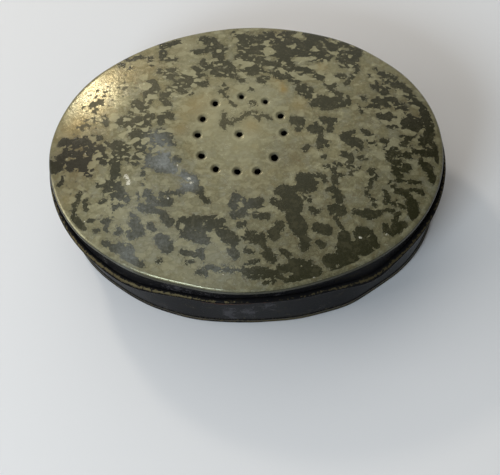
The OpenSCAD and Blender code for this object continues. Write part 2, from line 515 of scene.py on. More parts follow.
def holePlaces():
    # middle and radius of each hole: the one at the middle, then those of the ring
    middleX, middleY = panelShape["ringMiddle"]
    made = [(middleX, middleY, panelShape["holeWidth"] / 2)]
    uneven = zip(panelShape["holeTurn"], panelShape["holeShift"], panelShape["holeExtra"])
    step = 360 / len(panelShape["holeTurn"])
    for k, (turn, shift, extra) in enumerate(uneven):
        angle = math.radians(step * k + turn)
        away = panelShape["ringRadius"] + shift
        made.append((middleX + away * math.cos(angle), middleY + away * math.sin(angle),
                     (panelShape["holeWidth"] + extra) / 2))
    return made


holes = holePlaces()

# Japan left on the lid, and bare patches in it: both ends of a stroke and its half width, mm
paintMarks = {
    "back": [
        (1, 28.5, 15, 28.6, 3), (8, 25, 18, 24.6, 1.9), (15, 29.6, 19, 29, 1.5), (19, 26.6, 25, 25.6, 1.8),
        (20.5, 28.5, 24, 27.2, 0.9), (22, 23.6, 25, 22, 0.9), (24, 24.4, 25.2, 23, 0.8),
        (22.3, 21.4, 23.6, 21.4, 0.5), (0, 24, 9, 22.6, 1.9), (1, 21, 10, 20.6, 1.4), (8, 18.7, 14, 20, 1.2),
        (-1.5, 30, -0.8, 26, 1), (-0.5, 22.5, 2.5, 20.2, 0.9), (-1, 20, 2, 19.3, 0.4),
        (-2, 24, -1.4, 22, 0.4), (-3, 32, -2.9, 31, 0.4), (-10, 29.5, -8, 29.2, 1.1),
        (-8, 27.4, -5.6, 26.7, 1.1), (-6.5, 25.5, -6, 22.5, 1.2), (-7.4, 29, -7, 28, 0.6),
        (-20, 28.3, -16.3, 29.2, 0.8), (-19.6, 27.6, -19.3, 25.4, 0.8), (-19.5, 24.5, -16.8, 24, 0.7),
        (-22.5, 24.8, -21.8, 23.2, 0.5), (-12, 25.8, -9.5, 26.3, 0.6), (-9.8, 22.8, -9, 21.4, 0.7),
        (-6.3, 19.7, -3.2, 19.3, 1), (-4.2, 22.4, -3, 20.6, 0.6), (-15.5, 18.2, -10, 18.3, 1.2),
        (-15.5, 16.5, -9.4, 17, 0.9), (-11.7, 21.2, -10.6, 20.2, 0.5), (-15, 15.2, -12.5, 14.3, 0.4),
        (-8, 22.5, -7.6, 19.6, 0.4), (-20, 20.7, -16.5, 20.8, 0.5), (-18.3, 19.8, -16.5, 18.8, 0.6),
        (-28, 25, -26.5, 24.4, 0.5), (-29.5, 23.7, -27, 22.6, 0.4), (-25.8, 25.7, -24.6, 25.2, 0.4)],
    "backRight": [
        (10.5, 17.5, 12, 17.2, 0.7), (15.4, 18.4, 17.4, 18.2, 0.8), (13, 14.7, 14.3, 13.6, 1.3),
        (16, 11.5, 22.4, 12, 1.4), (17.5, 10.2, 23, 11, 0.9), (19.2, 13.6, 22, 13.2, 0.6),
        (18.8, 16.4, 20, 15.8, 0.7), (19.5, 15.6, 19.7, 14, 0.5), (21, 18.2, 22.3, 18.2, 0.5),
        (17.8, 6.4, 20.2, 6.4, 0.8), (19, 6, 19.2, 4, 0.6), (15, 4.6, 17, 4, 0.8), (16.1, 6, 16, 3.7, 0.4),
        (17.1, 2.4, 17, -0.2, 0.6), (17.5, 1.3, 18.5, 0.4, 0.5), (11, 6.6, 13, 6.2, 0.9),
        (12, 4.4, 12.5, 4.2, 0.4), (13.4, -0.6, 14.2, -0.2, 0.35), (25.8, 20.6, 23.7, 16.8, 0.3),
        (23.5, 16.7, 23.1, 16.5, 0.4), (28, 19.5, 30.2, 16.4, 0.2), (25, 10.6, 26.5, 9, 0.3),
        (26.5, 9, 28.7, 10.5, 0.35), (28.7, 10.5, 29.8, 11.2, 0.3), (26.6, 12.5, 27.2, 12.2, 0.3),
        (29.7, 20.9, 30.3, 20.7, 0.3)],
    "right": [
        (31.2, 19.2, 33.5, 18.4, 1), (33, 17, 36.5, 15.3, 1.2), (29.4, 16, 31.4, 14.6, 0.7),
        (32.2, 17.2, 31.6, 13, 0.8), (33.4, 11.6, 35.6, 11, 0.5), (31.3, 12.6, 32.8, 11.6, 1.6),
        (29.2, 11.8, 30.4, 11.4, 0.6), (37, 13.6, 40.5, 10, 1.1), (40.5, 10, 41.4, 6.5, 1.1),
        (34, 10.6, 36, 10, 0.6), (29.7, 10.3, 30.3, 8.8, 0.5), (30.3, 8.4, 31, 7.2, 0.8),
        (31.8, 8.8, 33.2, 6, 0.9), (32.5, 5.6, 34, 5.4, 0.7), (35.5, 7.4, 38.6, 6.2, 1.7),
        (36, 5, 39, 4.7, 0.7), (41.4, 5.4, 41.3, 2.2, 1.1), (41.3, 2, 42.2, -0.6, 1.1),
        (22.8, 2.2, 25.4, 0.2, 1.2), (22.8, 3.2, 24.5, 3.4, 0.3), (26.6, 4, 28.2, 2.4, 0.5),
        (28, 1.2, 28.6, 0, 0.6), (31, 1.3, 32.6, 0.6, 0.6), (35.4, 2.6, 37.2, 2.2, 0.5),
        (34.4, 0.5, 36.2, 0.9, 0.7), (38.6, 2.5, 40.6, 1, 0.9), (37.4, -0.8, 40.6, -1, 0.6),
        (31.8, -1.3, 34, -3.6, 1.3), (34, -0.5, 35.5, -2.2, 0.6), (36.2, -1.4, 36.9, -2.7, 0.5),
        (35.5, -4, 36.5, -5, 0.6), (33.2, -5.3, 36, -5.5, 0.7), (39.6, -3.6, 40.9, -5, 1),
        (41.2, -5.8, 41.8, -7.4, 0.8), (40.4, -1.4, 42.4, -0.8, 0.9), (42.8, -2, 43, -3, 0.4),
        (33.4, -6, 34.4, -6.8, 0.7), (34, -8.1, 38.5, -8.5, 0.4), (32.3, -8.8, 33.2, -10.2, 0.4),
        (33.4, -10.4, 35, -11, 0.6), (37, -10.1, 39.4, -10.8, 0.5), (35.5, -11.2, 36.3, -12, 0.8),
        (36.8, -13.2, 37.4, -16, 1.2), (31, -11, 31.5, -13.3, 0.6), (31.5, -13.3, 33, -13.6, 0.4),
        (33.6, -13, 35, -14.5, 0.25), (33.8, -16, 33, -17.4, 0.5), (30.8, -15, 32.8, -15.3, 0.25),
        (22.4, -2, 23.6, -3.4, 0.8), (22, -3.5, 20, -4.6, 0.35), (25.8, -3, 26.8, -2.9, 0.4),
        (21, -4.7, 25.4, -5.4, 0.22), (25.5, -5.5, 23.8, -6.8, 0.3), (28.4, -6.4, 28.8, -7.4, 0.8),
        (28.2, -8.2, 27.4, -9.6, 0.45), (27.3, -9.6, 27, -11.5, 0.35), (27, -11.5, 28.7, -13, 0.3),
        (28.7, -13, 28.6, -14.8, 0.35), (17.5, -2.8, 18, -2.7, 0.3)],
    "frontRight": [
        (13, -8, 15, -9, 1.3), (14.6, -7.3, 16.4, -7.4, 0.5), (11.5, -10.3, 15, -10, 1),
        (9, -11.4, 11.2, -14.2, 2), (6.8, -13.2, 8.4, -14.8, 0.8), (11, -17, 12.2, -19.5, 1.7),
        (13.6, -12.2, 14.6, -13.2, 0.5), (19.8, -5, 20.2, -9, 0.45), (17.9, -5.5, 19.5, -4.9, 0.35),
        (20.3, -7, 21.8, -7.2, 0.25), (17.6, -7.6, 17.6, -8.6, 0.35), (18.8, -10.5, 20, -10.2, 0.4),
        (20.2, -11.2, 20.9, -13, 0.9), (20, -14.6, 21.8, -15.4, 0.8), (18.8, -14.6, 19.2, -15.8, 0.5),
        (20.6, -16.4, 21.4, -16.2, 0.3), (20, -17, 21.6, -19.8, 0.3), (15, -15.2, 16, -15.8, 0.6),
        (24.5, -15.6, 29.5, -15.8, 0.6), (26.6, -16.6, 28.5, -16.5, 0.7), (22, -21.4, 27.6, -22, 1.5),
        (25.3, -20, 27.5, -20.5, 0.9), (21.5, -24.2, 26.6, -24, 1.4), (18.5, -26.4, 24, -26.3, 1.2),
        (8, -28.3, 16, -28.8, 0.8), (10.4, -30.3, 16.4, -29.3, 0.6), (11, -27, 14, -27.4, 0.8),
        (0, -28.7, 7, -29.4, 0.8), (4.8, -31.3, 7, -31.2, 0.35), (9.6, -31, 12.4, -30.8, 0.55),
        (12, -30.3, 16.6, -29.9, 0.55), (1.5, -30.1, 8, -30.2, 0.45), (19.4, -28.1, 21, -28.2, 0.5),
        (28.6, -21.5, 28.9, -23.4, 0.5), (30.9, -18.3, 31.2, -19.8, 0.6), (33, -19, 34.6, -18.3, 0.8),
        (32.4, -20.1, 33.6, -19.6, 0.7)],
    "frontBand": [
        (-13, -18.3, -5.6, -18.2, 1.6), (-12.6, -20.6, -8.5, -21.6, 1.2), (-4.4, -20.4, -2.4, -22.2, 1.4),
        (-18, -21.6, -16.6, -23.3, 1.3), (-24, -17.8, -23, -19.6, 1.1), (-25.2, -19.6, -24.4, -20.6, 0.6),
        (-28.6, -22.8, -25, -23.3, 0.9), (-2, -16.4, 0.4, -15.2, 0.9), (-2.6, -13.6, -1.4, -14.9, 0.8),
        (-1.8, -11.6, -1.2, -13, 0.8), (0.6, -13.5, 3.6, -13.8, 1), (6.6, -20.8, 7.9, -19.2, 1.2),
        (0.8, -21.1, 3.8, -21.8, 1.1), (13, -22, 13.4, -23.6, 1), (5, -25.3, 6.4, -26.5, 0.8),
        (4.3, -23, 5.4, -24.6, 0.4), (16, -19.4, 18.4, -20, 1), (16.2, -22.6, 17.2, -23.2, 0.5),
        (8.5, -24.6, 9.6, -25.4, 0.6), (-13.2, -24.6, -10, -25, 0.6), (-9, -24.2, -8.8, -26, 0.5),
        (-20.5, -18.3, -19.9, -19.3, 0.7), (-2.4, -24, -1.8, -25.5, 0.8), (-30.8, -17, -29.9, -16.7, 0.6),
        (-27.8, -19.6, -27.3, -18.8, 0.6), (0.7, -24.4, 1.9, -24.9, 0.5), (-0.8, -18.6, 0.2, -18.4, 0.6),
        (2.6, -16.6, 5, -16.8, 0.6), (-9.6, -28.8, -8.2, -29.4, 0.5), (-7.6, -27.9, -5, -28.6, 0.6),
        (-4.4, -28.2, -1, -28.7, 0.5), (-25.8, -24.8, -22.6, -27, 0.8), (-12.6, -26.8, -11, -26.7, 0.3),
        (0.5, -27.4, 3.6, -26.8, 0.3), (-19.8, -14.8, -17, -16.2, 0.6), (-17.6, -16.4, -16, -17.8, 0.8),
        (-9.6, -11, -8.2, -13, 0.6), (-13, -9.7, -9.5, -10.2, 0.7), (-18.6, -26.5, -18, -26.3, 0.3),
        (-24.8, -15.6, -23.8, -16.2, 0.4)],
    "left": [
        (-43, -2.4, -35, -2, 2), (-35, -2, -27.2, -2, 1.4), (-41.4, 3, -37, 2.8, 0.9),
        (-40, 0.6, -32, 0.9, 1.4), (-36, 3.4, -33, 3, 0.9), (-29, 1.4, -26.8, 0.3, 1), (-25, 4, -22, 3.5, 1),
        (-24, 2.6, -23, 0.4, 1.2), (-22, 2.4, -18.6, 3, 1.3), (-20.5, 1, -17.5, 2, 1.3),
        (-19, 4, -17.4, 3.8, 0.9), (-17.5, 2, -15.8, 1.2, 0.4), (-36.2, -4.2, -35, -4.4, 0.9),
        (-35.6, -5, -34.5, -5.7, 0.4), (-40.8, -5.5, -41.5, -7.3, 0.5), (-28.8, -3, -28.6, -8, 1),
        (-30.4, -8.4, -28, -9, 0.9), (-32.6, -8.2, -30, -8.6, 0.4), (-30.8, -9.8, -29.8, -10.3, 0.5),
        (-24.2, -3, -23.6, -1.8, 0.9), (-22, -1.8, -17.5, -2.5, 1.2), (-21, -3.5, -17, -4, 1.2),
        (-19, -5, -15.8, -5, 0.9), (-15.5, -2.5, -14.6, -3.1, 0.5), (-13.5, -6.5, -11, -7.8, 0.8),
        (-12, -9, -10.4, -9.2, 0.5), (-22.5, -5, -22.3, -9, 0.35), (-21.6, -11, -20.6, -12, 1),
        (-19.5, -12.9, -16.5, -13, 1), (-18, -11, -13.5, -10.8, 0.4), (-22.5, -14, -20.5, -14.5, 0.9),
        (-23.4, -11, -23.2, -12, 0.3), (-28.5, -11.4, -26.4, -12, 1.2), (-27.6, -10.5, -27.5, -13, 0.9),
        (-28.8, -13.4, -28.7, -15.4, 0.45), (-32, -12.8, -31, -12.2, 0.5), (-36.9, -9.9, -36.5, -10.6, 0.5),
        (-36.8, -10.8, -37.7, -12.6, 0.4), (-38, -14, -38, -15.2, 0.6), (-37.6, -16, -35.7, -17.7, 0.7),
        (-35.4, -12, -35, -13.5, 0.5), (-34.8, -16.8, -33.6, -16.3, 0.5), (-32.8, -18.7, -32, -18.8, 0.3),
        (-30.6, -18.4, -30, -19, 0.4), (-31, -21.6, -29.5, -22.3, 0.5)],
    "backLeft": [
        (-21.6, 17.5, -20.9, 15.6, 1.1), (-22.5, 14.5, -22, 12.6, 0.8), (-19, 14, -16.8, 14.3, 0.6),
        (-24.7, 11.6, -23.4, 11, 1.3), (-18.8, 12.8, -17.5, 11.3, 0.6), (-17.5, 15.8, -15, 16, 0.5),
        (-28, 7.2, -25.8, 6.8, 1.2), (-26.2, 9.8, -25.7, 9.4, 0.3), (-24.3, 7.3, -22.2, 6, 1),
        (-22.6, 8.6, -22.2, 7, 0.7), (-21.4, 9.3, -20.8, 8, 0.45), (-19, 9, -19, 7, 0.7),
        (-18, 9.3, -16.8, 8.3, 0.6), (-32, 8.6, -31.6, 6.8, 0.4)],
    "middle": [
        (-4.3, 6.7, -3, 6.2, 0.45), (-3, 6.2, -0.4, 7.8, 0.35), (0, 8, 1.5, 9.2, 0.2),
        (1.5, 9.2, 3.5, 8.6, 0.2), (3.5, 8.6, 6, 7, 0.2), (-4.6, 8.4, -4.8, 6, 0.5),
        (-4.5, 6.5, -4.5, 4.8, 0.3), (-5.6, 14.5, -2.3, 10.7, 0.2), (1, 15.6, 1.6, 15, 0.35),
        (-5.2, 16.2, -4.5, 15.2, 0.35), (3.2, 17.6, 4.4, 16.4, 0.3), (4.3, 18.3, 5.3, 17.9, 0.3),
        (-1.8, 17.8, -0.6, 17.5, 0.25), (1.5, 11.5, 2.2, 11, 0.2), (2.2, 8, 3.2, 7.2, 0.25)],
}
bareMarks = {
    "back": [
        (0.3, 31.3, 3.3, 31.2, 0.8), (2, 29.4, 3.2, 29, 0.4), (2, 27.7, 7, 27.5, 0.4),
        (5, 26.2, 5.2, 25.8, 0.7), (1, 24.4, 4, 24.2, 0.5), (5, 23.5, 7, 23.2, 0.8),
        (2.6, 22, 3.4, 21.8, 0.6), (4.6, 20.8, 6, 20.2, 0.9), (11, 30.4, 13, 30, 0.9),
        (10, 27, 10.2, 26.9, 0.5), (11.4, 23, 13.5, 22.4, 0.9), (17.4, 28.6, 19, 25.8, 0.5),
        (19.5, 30, 20, 28.6, 0.6), (22.5, 26.5, 23.6, 26.4, 0.7), (15.8, 24, 16, 23.8, 0.4),
        (18.5, 24.4, 19, 24.2, 0.5), (7, 31.2, 8, 31.5, 0.6), (16.3, 26.2, 16.6, 26, 0.3),
        (11, 19, 12, 19.2, 0.5), (13.5, 18.7, 15, 18.5, 0.6), (9.5, 20.6, 10.3, 20.9, 0.45),
        (-15.9, 18.7, -15.6, 18.5, 0.7), (-14.6, 17.2, -14.3, 17.2, 0.5), (-9.8, 18.2, -8.7, 19.5, 0.6),
        (-11.3, 16, -11, 16.1, 0.5), (21.5, 24.1, 21.7, 23.9, 0.5), (22.6, 23.1, 22.8, 23, 0.4),
        (-4, 29, -3, 25, 0.9)],
    "left": [
        (-40.5, -2.9, -40.6, -2.6, 0.6), (-40.1, -1.2, -39.6, -1, 0.5), (-43.4, -0.9, -43, -0.5, 0.6),
        (-33.5, -3.2, -32, -4.6, 0.9), (-38.6, -4.8, -37.6, -4.5, 0.6), (-39.9, 1.1, -39.2, 1.2, 0.4),
        (-38.3, 0.9, -36.8, 0.9, 0.6), (-36.1, -0.3, -35.9, -0.4, 0.4), (-33.2, 2, -32.2, 2.3, 0.6),
        (-31, 0.5, -30.2, -1.2, 0.7), (-34.8, 3.3, -34, 3.2, 0.5), (-24.2, -0.3, -23.7, -0.3, 0.4),
        (-25.3, -1, -24.7, -0.8, 0.5), (-22, 2, -21, 1.3, 0.5), (-21.5, -0.8, -19.6, -1.5, 0.4),
        (-22.8, -4, -22.3, -2, 0.35), (-27, -3, -26.2, -4.2, 0.9), (-28.6, -7.5, -28.2, -7.3, 0.4),
        (-19.7, 4.2, -19.3, 3.9, 0.4), (-26.2, -6.4, -25.6, -8, 0.9)],
    "right": [
        (40.2, 5, 36.2, 0, 0.45), (36.2, 0, 34.9, -1.4, 0.4), (33.1, 17.9, 33.5, 17.7, 0.6),
        (31.2, 18.1, 31.4, 18, 0.4), (31.6, 17, 31.8, 15.8, 0.35), (36.4, 12, 35.4, 14, 0.8),
        (33.2, 10, 33.8, 9.3, 0.7), (37.4, 10.4, 38.6, 8.5, 0.7), (32.6, 8, 32.7, 7.8, 0.4),
        (33.9, 6.6, 34.1, 6.4, 0.4), (29.4, 14.4, 30.2, 13.7, 0.7), (32.7, 14, 33.6, 13.6, 0.4),
        (33.5, 11.8, 33.7, 11.5, 0.3), (40.9, 0.9, 41.5, 0.6, 0.5), (33, -3, 33.6, -2.6, 0.4),
        (17.6, 13.6, 18.8, 13.4, 0.6), (22.2, 12.9, 22.5, 12.7, 0.35)],
    "front": [
        (23.4, -20.2, 23.8, -21.8, 0.6), (26.9, -21.3, 27.2, -21.1, 0.3), (12.2, -11.2, 14, -11.9, 0.4),
        (7.2, -12, 7.8, -13, 0.5), (13.4, -13.8, 13.5, -17, 0.5), (-13.6, -18.4, -13.4, -19.2, 0.6),
        (-8.8, -18.7, -8.6, -18.3, 0.5), (0.7, -13.3, 0.9, -13.1, 0.3), (-11.4, -22.8, -10, -23.2, 0.5),
        (-16.9, -12.2, -16.6, -12.2, 0.3), (-19.2, -12.2, -18.6, -12.3, 0.4),
        (-26.1, -22, -25.5, -22.3, 0.5)],
}
# stains, and the painted glints, highlights, sheen and shade laid over the lid
stainsAndLight = {  # place and reach in mm, and strength
    "ochre": [
        (-11.5, 10.5, 3, 0.55), (-14.5, 5, 2, 0.5), (8.8, 14.7, 0.9, 1.1), (8.4, 15.9, 0.7, 0.6),
        (7.5, 17, 1.5, 0.45), (1.5, 5.5, 2.2, 0.4), (12.5, 10.5, 2, 0.45), (17.5, 21, 1.3, 0.6),
        (-9, 13, 2, 0.3), (-38, 8.5, 2.2, 0.45), (-40, -11, 2, 0.3), (-31, 21, 3, 0.3), (-33, 12, 5, 0.35),
        (-40, 6, 3, 0.4), (-24, 22, 5, 0.25)],
    "tan": [
        (-1, 6, 16, 0.8), (-30, 14, 14, 0.7), (28, 8, 12, 0.4)],
    # pale: paler tin; the spot at (-14.5, 28.4) is a painted highlight on the back rim
    "pale": [
        (-1, 6, 8, 0.8), (5, 14, 4, 0.4), (-9, 10, 6, 0.5), (-1, -3, 6, 0.3), (-14, 24, 5, 0.4),
        (-14.5, 28.4, 2.4, 0.7), (-38, 9, 5, 0.3), (20, 20, 4, 0.3), (-13, -29, 7, 0.35),
        (-29, -15, 6, 0.3)],
    "brown": [
        (-40, -1, 5.5, 1), (-34.5, 1.5, 4.5, 0.9), (-36, -4, 3, 0.7), (-41, 7, 4, 0.4), (-34, 7.5, 4, 0.35),
        (-39, -9, 4, 0.35), (39, 8, 4, 0.4), (41, 0, 4, 0.3), (-28, 20, 5, 0.45), (-22, 24, 4, 0.3),
        (-15, 27, 3, 0.3), (32, 10, 7, 0.25), (7, 30.5, 3, 0.5), (11.5, -3, 3.5, 0.4), (3, -10, 4, 0.25)],
    "thin": [
        (-1, 6, 9, 0.9), (-24, 13, 9, 0.55), (-16, 18, 7, 0.4), (0, 24, 10, 0.25), (-30, 6, 6, 0.3),
        (20, 16, 6, 0.25)],
    "flecked": [
        (2, 25, 12, 0.75), (-17, 18, 10, 0.9), (20, 20, 9, 0.6), (35, 9, 9, 0.55), (-38, -2, 6, 0.12),
        (-25, 6, 9, 0.85), (-31, -2, 6, 0.35), (-30, -10, 8, 0.5), (26, -6, 10, 0.35), (-2, -20, 12, 0.3)],
    "crumbed": [
        (-34, 13.5, 4.5, 0.8), (-36, 6.5, 5, 0.85), (-39, -8, 4, 0.6), (-28.5, 18, 4.5, 0.75),
        (-20, 23, 7, 0.5), (-13, 14, 5, 0.35), (33, 9, 8, 0.3), (8, 22, 9, 0.35), (-31, -13, 9, 0.5),
        (-14, -13, 7, 0.35), (22, 2, 8, 0.3)],
    # haze: a dusty film, and a painted bluish sheen of reflected light, over japan and bare tin
    "hazeAndSheen": [
        (-19.5, 2, 2.6, 0.5), (-17.6, -0.5, 1.5, 0.8), (-17.8, -3.4, 1.7, 0.9), (-20.6, -3.4, 2, 0.45),
        (-15, -5.4, 2, 0.6), (-12.4, -8.4, 2.2, 0.8), (-22, -12, 6, 0.26), (-26, -19, 6, 0.2),
        (-18, -22, 3, 0.28), (-25, -25, 3, 0.38), (-5, -28, 5, 0.3), (-10, -22, 4, 0.2), (-1, -14, 4, 0.16)],
    "grey": [
        (-8, -26, 11, 0.6), (-22, -18, 8, 0.45)],
    # glint: bright new chips of tin, and small painted highlights where the lid glints
    "glint": [
        (-36, -0.3, 0.2, 1), (-26.4, -6.4, 0.7, 0.5), (-25.9, -7.4, 0.8, 0.56), (-25.7, -8.3, 0.45, 0.85),
        (-14.8, -4.2, 0.19, 1), (-11.6, -8.4, 0.6, 0.7), (-12.2, -7.4, 0.5, 0.6), (-16.7, -12.2, 0.19, 1),
        (-3, -28.6, 0.22, 1), (-4.4, -29.6, 0.15, 0.9), (25.4, -21.5, 0.28, 1), (31.1, -20.6, 0.26, 1),
        (15.4, -30.2, 0.26, 1), (-35.4, -16.6, 0.19, 0.9), (-9.8, -27.3, 0.19, 0.8), (-22, -27.2, 0.19, 0.9),
        (-40.3, -1.2, 0.19, 0.8)],
    # grime: dirt round the middle and the holes; the wide spots at (12, -27), (24, -16) and (32, 10) are
    # painted shade that darkens the front and right
    "grimeAndShade": [
        (0, 8.5, 1.2, 0.15), (-3, 7, 2, 0.2), (20, -5, 2, 0.15), (28, -10, 3, 0.15), (26, -2, 2.5, 0.15),
        (12, -27, 12, 0.25), (24, -16, 12, 0.09), (8, -3, 4, 0.18), (32, 10, 7, 0.15)],
}
panelWearAndLight = {  # pairs are distances in mm from none to full, or a middle and a reach
    "front": (10, -10),        # across the lid
    "rim": (-0.2, 0.4),        # outward from the wall
    "bendFoot": (0.72, 0.57),  # above the flange
    "flangeDirt": (0.45, -0.05),
    "holeLitRim": (0.7, 0.4),     # painted highlight, outward from a hole's edge
    "holeDirt": (0.0, 0.45),
}


def strokeDepth(x, y, marks):
    # how far each point lies inside the nearest stroke of a set, mm; negative outside
    deepest = np.full(x.shape, -9.0)
    for startX, startY, endX, endY, half in sum(marks.values(), []):
        runX, runY = endX - startX, endY - startY
        run = max(runX ** 2 + runY ** 2, 1e-9)
        share = np.clip(((x - startX) * runX + (y - startY) * runY) / run, 0, 1)
        away = np.hypot(x - startX - share * runX, y - startY - share * runY)
        deepest = np.maximum(deepest, half - away)
    return deepest


def spots(x, y, places):
    # sum of soft round spots, each with its place, reach and strength
    total = np.zeros_like(x)
    for atX, atY, reach, strength in places:
        total += strength * bell(np.hypot(x - atX, y - atY), 0, reach)
    return total


def panelLayers():
    # top and under side of the panel as rows round the oval, from near the middle to the flange's edge
    joint = lidOut - lidBend + lidBend * math.sin(math.radians(crownSlope))
    shares = np.unique(np.concatenate([np.linspace(*stretch) for stretch in panelShape["rows"]]))[:, None]
    trueX, trueY = ovalRing(turns, joint)
    uneven = lidTrue(np.arctan2(trueY, trueX))
    rimX, rimY = ovalRing(turns, joint + uneven)
    x, y = shares * rimX, shares * rimY
    away = np.maximum(outwardOf(shares * trueX, shares * trueY) - lidOut + crownIn, 0)
    top = crown - crownRadius + np.sqrt(crownRadius ** 2 - away ** 2) + spots(x, y, panelShape["dents"])
    drop = np.array([[0, -0.5], [0, -0.88], [-0.06, -1.0]]) * panelShape["flange"]  # with its edge eased
    layers = []
    for thick, side in ((0, 1), (sheet, -1)):
        edge = arc((lidOut - lidBend, lidEdge), lidBend - thick, 90 - crownSlope, 0, 10)[1:]
        edge = np.concatenate([edge, edge[-1] + drop * [side, 1]])
        edgeX, edgeY = ovalRing(turns, edge[:, :1] + uneven)
        flange = np.stack([edgeX, edgeY, np.broadcast_to(edge[:, 1:], edgeX.shape)], -1)
        layers.append(np.concatenate([np.stack([x, y, top - thick], -1), flange]))
    return layers


def raggedEdge(points, hole, phases):
    # radius of a hole's torn edge in the direction of each point
    angle = np.arctan2(points[:, 1] - hole[1], points[:, 0] - hole[0])
    waves = zip(panelShape["ragged"], phases)
    return hole[2] * (1 + sum(share * np.sin(count * angle + phase) for (count, share), phase in waves))


def punchHoles(top, under, faces):
    # faces inside a hole go, the points on its edge move to the torn edge, and a lip sinks round it
    middle = top[faces].mean(1)
    kept = np.ones(len(faces), bool)
    torn = np.random.default_rng(11)
    dishReach, dishDepth = panelShape["dish"]
    for hole in holes:
        holeX, holeY, radius = hole
        phases = torn.uniform(0, 2 * math.pi, 3)
        gone = np.hypot(middle[:, 0] - holeX, middle[:, 1] - holeY) < raggedEdge(middle, hole, phases)
        rim = np.intersect1d(faces[gone], faces[~gone & kept])
        for layer in (top, under):
            acrossX, acrossY = layer[rim, 0] - holeX, layer[rim, 1] - holeY
            stretch = raggedEdge(layer[rim], hole, phases) / np.hypot(acrossX, acrossY)
            layer[rim, 0] = holeX + acrossX * stretch
            layer[rim, 1] = holeY + acrossY * stretch
        kept &= ~gone
        away = np.hypot(top[:, 0] - holeX, top[:, 1] - holeY)
        lip = ramp(away, radius + panelShape["lipWidth"], radius) ** 1.5
        sunk = panelShape["lipDepth"] * lip + dishDepth * bell(away, 0, dishReach)
        top[:, 2] -= sunk
        under[:, 2] -= sunk
    return faces[kept]


def panelFields(points, under):
    x, y, z = points.T
    paint = np.minimum(strokeDepth(x, y, paintMarks), -strokeDepth(x, y, bareMarks))
    rim = ramp(y - 0.5 * x, *panelWearAndLight["front"]) * ramp(outwardOf(x, y), *panelWearAndLight["rim"])
    below = ramp(z - lidEdge, *panelWearAndLight["bendFoot"])
    paint = (paint - 3 * rim) * (1 - below) + 0.75 * below  # the front rim is rubbed bare, and black below
    fields = {key: spots(x, y, places) for key, places in stainsAndLight.items()}
    for holeX, holeY, radius in holes:
        away = np.hypot(x - holeX, y - holeY)
        brightening = 0.5 - 0.35 * (x - holeX) / away            # painted highlight on the lit side of each hole's dish, more on its left
        fields["pale"] += brightening * bell(away - radius, *panelWearAndLight["holeLitRim"])
        fields["grimeAndShade"] += 0.5 * bell(away - radius, *panelWearAndLight["holeDirt"])
    dirt = 0.7 * ramp(z - lidEdge, *panelWearAndLight["flangeDirt"])
    fields["grimeAndShade"] = np.clip(fields["grimeAndShade"] + dirt, 0, 1)
    return {"paint": paint, "under": under, **fields}


def makePanel():
    top, under = panelLayers()
    rows, columns = top.shape[:2]
    top, under = top.reshape(-1, 3), under.reshape(-1, 3)
    faces = punchHoles(top, under, gridFaces(rows, columns, False))

    # close the middle with a fan, join both layers along every open edge, and drop unused points
    fan = hubFan(len(top), np.arange(columns))
    top = np.concatenate([top, [top[:columns].mean(0)]])
    under = np.concatenate([under, [under[:columns].mean(0)]])
    count = len(top)
    edges = np.concatenate([faces[:, [k, (k + 1) % 4]] for k in range(4)]
                           + [fan[:, [k, (k + 1) % 3]] for k in range(3)])
    where, times = np.unique(np.sort(edges, 1), axis=0, return_index=True, return_counts=True)[1:]
    opened = edges[where[times == 1]]
    joining = np.concatenate([opened[:, ::-1], opened + count], 1)
    allFaces = bothSides(faces.tolist() + fan.tolist(), count, joining.tolist())
    used = np.unique(np.concatenate([np.asarray(face) for face in allFaces]))
    number = np.full(2 * count, -1)
    number[used] = np.arange(len(used))
    points = np.concatenate([top, under])[used]
    fields = panelFields(points, (used >= count).astype(float))
    makePiece("lidPanel", points, [number[face].tolist() for face in allFaces], body="lid", finish=wornLid,
              slot="worn_tin", nodes=["lid_panel"], fields=fields, sharp=50)


makePanel()

# Lid skirt with its rolled lower edge
skirtShape = {
    "curl": 0.75,           # outside radius of the roll, mm
    "rollEnd": 478,         # angle at which the roll ends, tucked against the band
    "bandRows": (12, 14),   # inside and outside of the band
    "rollSteps": (34, 24),  # outside and inside of the roll
    "tabHalf": 2.0,
    "flare": [(-135, 14, 0.95), (-44, 10, 1.2), (40, 14, 0.4), (140, 14, 0.4)],
    "raised": [(-84, 15, 1.15)],
    "pressedIn": [(-84, 15, -0.12)],
    "ridgeWear": [(-135, 30, 0.28), (-30, 22, 0.12), (-84, 16, -0.22), (90, 40, 0.15)],
    "rollRidge": (48, 32),  # angle on the roll, and reach, of what rubs bare
    "rollFoot": (-25, 30),  # and of what rusts
    "rust": [(-97, 11, 1.2), (-80, 8, 0.6), (-60, 8, 0.4)],
    "scuffs": [(-115, 9, 0.55), (-140, 10, 0.25), (-101, 4, 0.4), (-78, 5, 0.4), (60, 25, 0.25)],
}
skirtIn = skirtHigh[0] - halfLength - 2 * skirtShape["curl"]
curlHeight = skirtLow[2] + skirtShape["curl"]
skirtTop = skirtHigh[2]


def backTab(polar, half):
    # 1 on the tab at the middle of the back, 0 away from it
    fromSeam = np.abs(polar - math.pi / 2) * halfWidth
    return ramp(fromSeam, half, half - tinShape["tabEase"])


def skirtBend(polar, outward, height):
    down = np.clip((skirtTop - height) / (skirtTop - curlHeight), 0, 1.3)
    shift = lidTrue(polar) + pushed(polar, skirtShape["flare"]) * down ** 2
    shift = shift + pushed(polar, skirtShape["pressedIn"]) * down
    bandFace = (outward > skirtIn + 0.1) & (outward < skirtIn + sheet + 0.01)
    bandFace &= (height > curlHeight + skirtShape["curl"]) & (height < panelLow[2])
    shift = shift + np.where(bandFace, sheet * backTab(polar, skirtShape["tabHalf"]), 0)
    return outward + shift, height + pushed(polar, skirtShape["raised"]) * down


